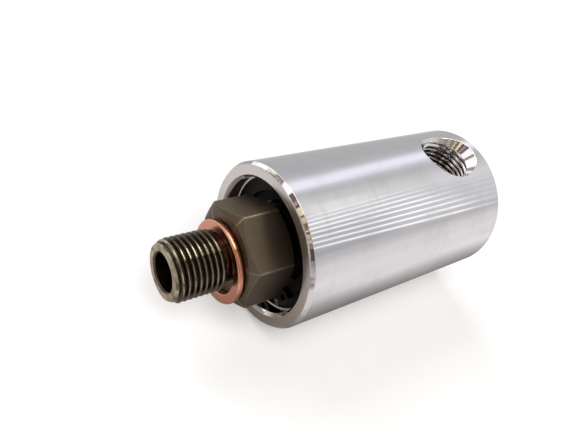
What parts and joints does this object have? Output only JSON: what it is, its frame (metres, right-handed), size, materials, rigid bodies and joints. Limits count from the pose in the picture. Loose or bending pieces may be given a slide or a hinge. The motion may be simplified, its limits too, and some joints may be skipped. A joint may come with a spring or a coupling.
{
  "type": "hydraulic rotary union",
  "caption": "Hydraulic swivel joint: a threaded hollow rotor with a hexagon turns on ball bearings in a round housing with a radial threaded port.",
  "frame": {"origin": "where the axis of the side port crosses the axis of the rotor", "axes": "+X along the rotor's axis, from the stud into the housing; +Z along the side port, out of its mouth"},
  "size_m": [0.0624, 0.0274, 0.0274],
  "materials": {
    "turned_aluminium": "turned",
    "blackened_steel": "black oxide",
    "copper": "soft satin",
    "spring_steel": "phosphated",
    "bearing_steel": "ground",
    "ball_steel": "polished",
    "black_rubber": "moulded",
    "cage_nylon": "moulded",
    "ptfe": "machined",
    "gland_bronze": "turned"
  },
  "bodies": {
    "housing": {"housing": "turned_aluminium", "housing_circlip": "spring_steel", "outer_spacer": "bearing_steel", "seal_gland": "gland_bronze", "backup_ring": "ptfe", "shaft_seal": "ptfe", "energiser_ring": "black_rubber", "front_bearing_outer_ring": "bearing_steel", "front_bearing_front_seal": "black_rubber", "front_bearing_rear_seal": "black_rubber", "rear_bearing_outer_ring": "bearing_steel", "rear_bearing_front_seal": "black_rubber", "rear_bearing_rear_seal": "black_rubber"},
    "rotor": {"rotor": "blackened_steel", "rotor_circlip": "spring_steel", "inner_spacer": "bearing_steel", "front_bearing_inner_ring": "bearing_steel", "rear_bearing_inner_ring": "bearing_steel"},
    "washer": {"copper_washer": "copper"},
    "front_cage": {"front_bearing_balls": "ball_steel", "front_bearing_cage": "cage_nylon"},
    "rear_cage": {"rear_bearing_balls": "ball_steel", "rear_bearing_cage": "cage_nylon"}
  },
  "joints": [
    {"name": "rotor_spin", "type": "hinge", "parent": "housing", "child": "rotor", "pos_m": [0, 0, 0], "axis": [1, 0, 0], "continuous": true},
    {"name": "front_cage_spin", "type": "hinge", "parent": "housing", "child": "front_cage", "pos_m": [0, 0, 0], "axis": [1, 0, 0], "continuous": true},
    {"name": "rear_cage_spin", "type": "hinge", "parent": "housing", "child": "rear_cage", "pos_m": [0, 0, 0], "axis": [1, 0, 0], "continuous": true},
    {"name": "washer_slide", "type": "slide", "parent": "rotor", "child": "washer", "axis": [1, 0, 0], "range_m": [-0.0004, 0.00015]}
  ],
  "couplings": [
    {"joint": "front_cage_spin", "follows": "rotor_spin", "ratio": 0.39062},
    {"joint": "rear_cage_spin", "follows": "rotor_spin", "ratio": 0.39062}
  ]
}
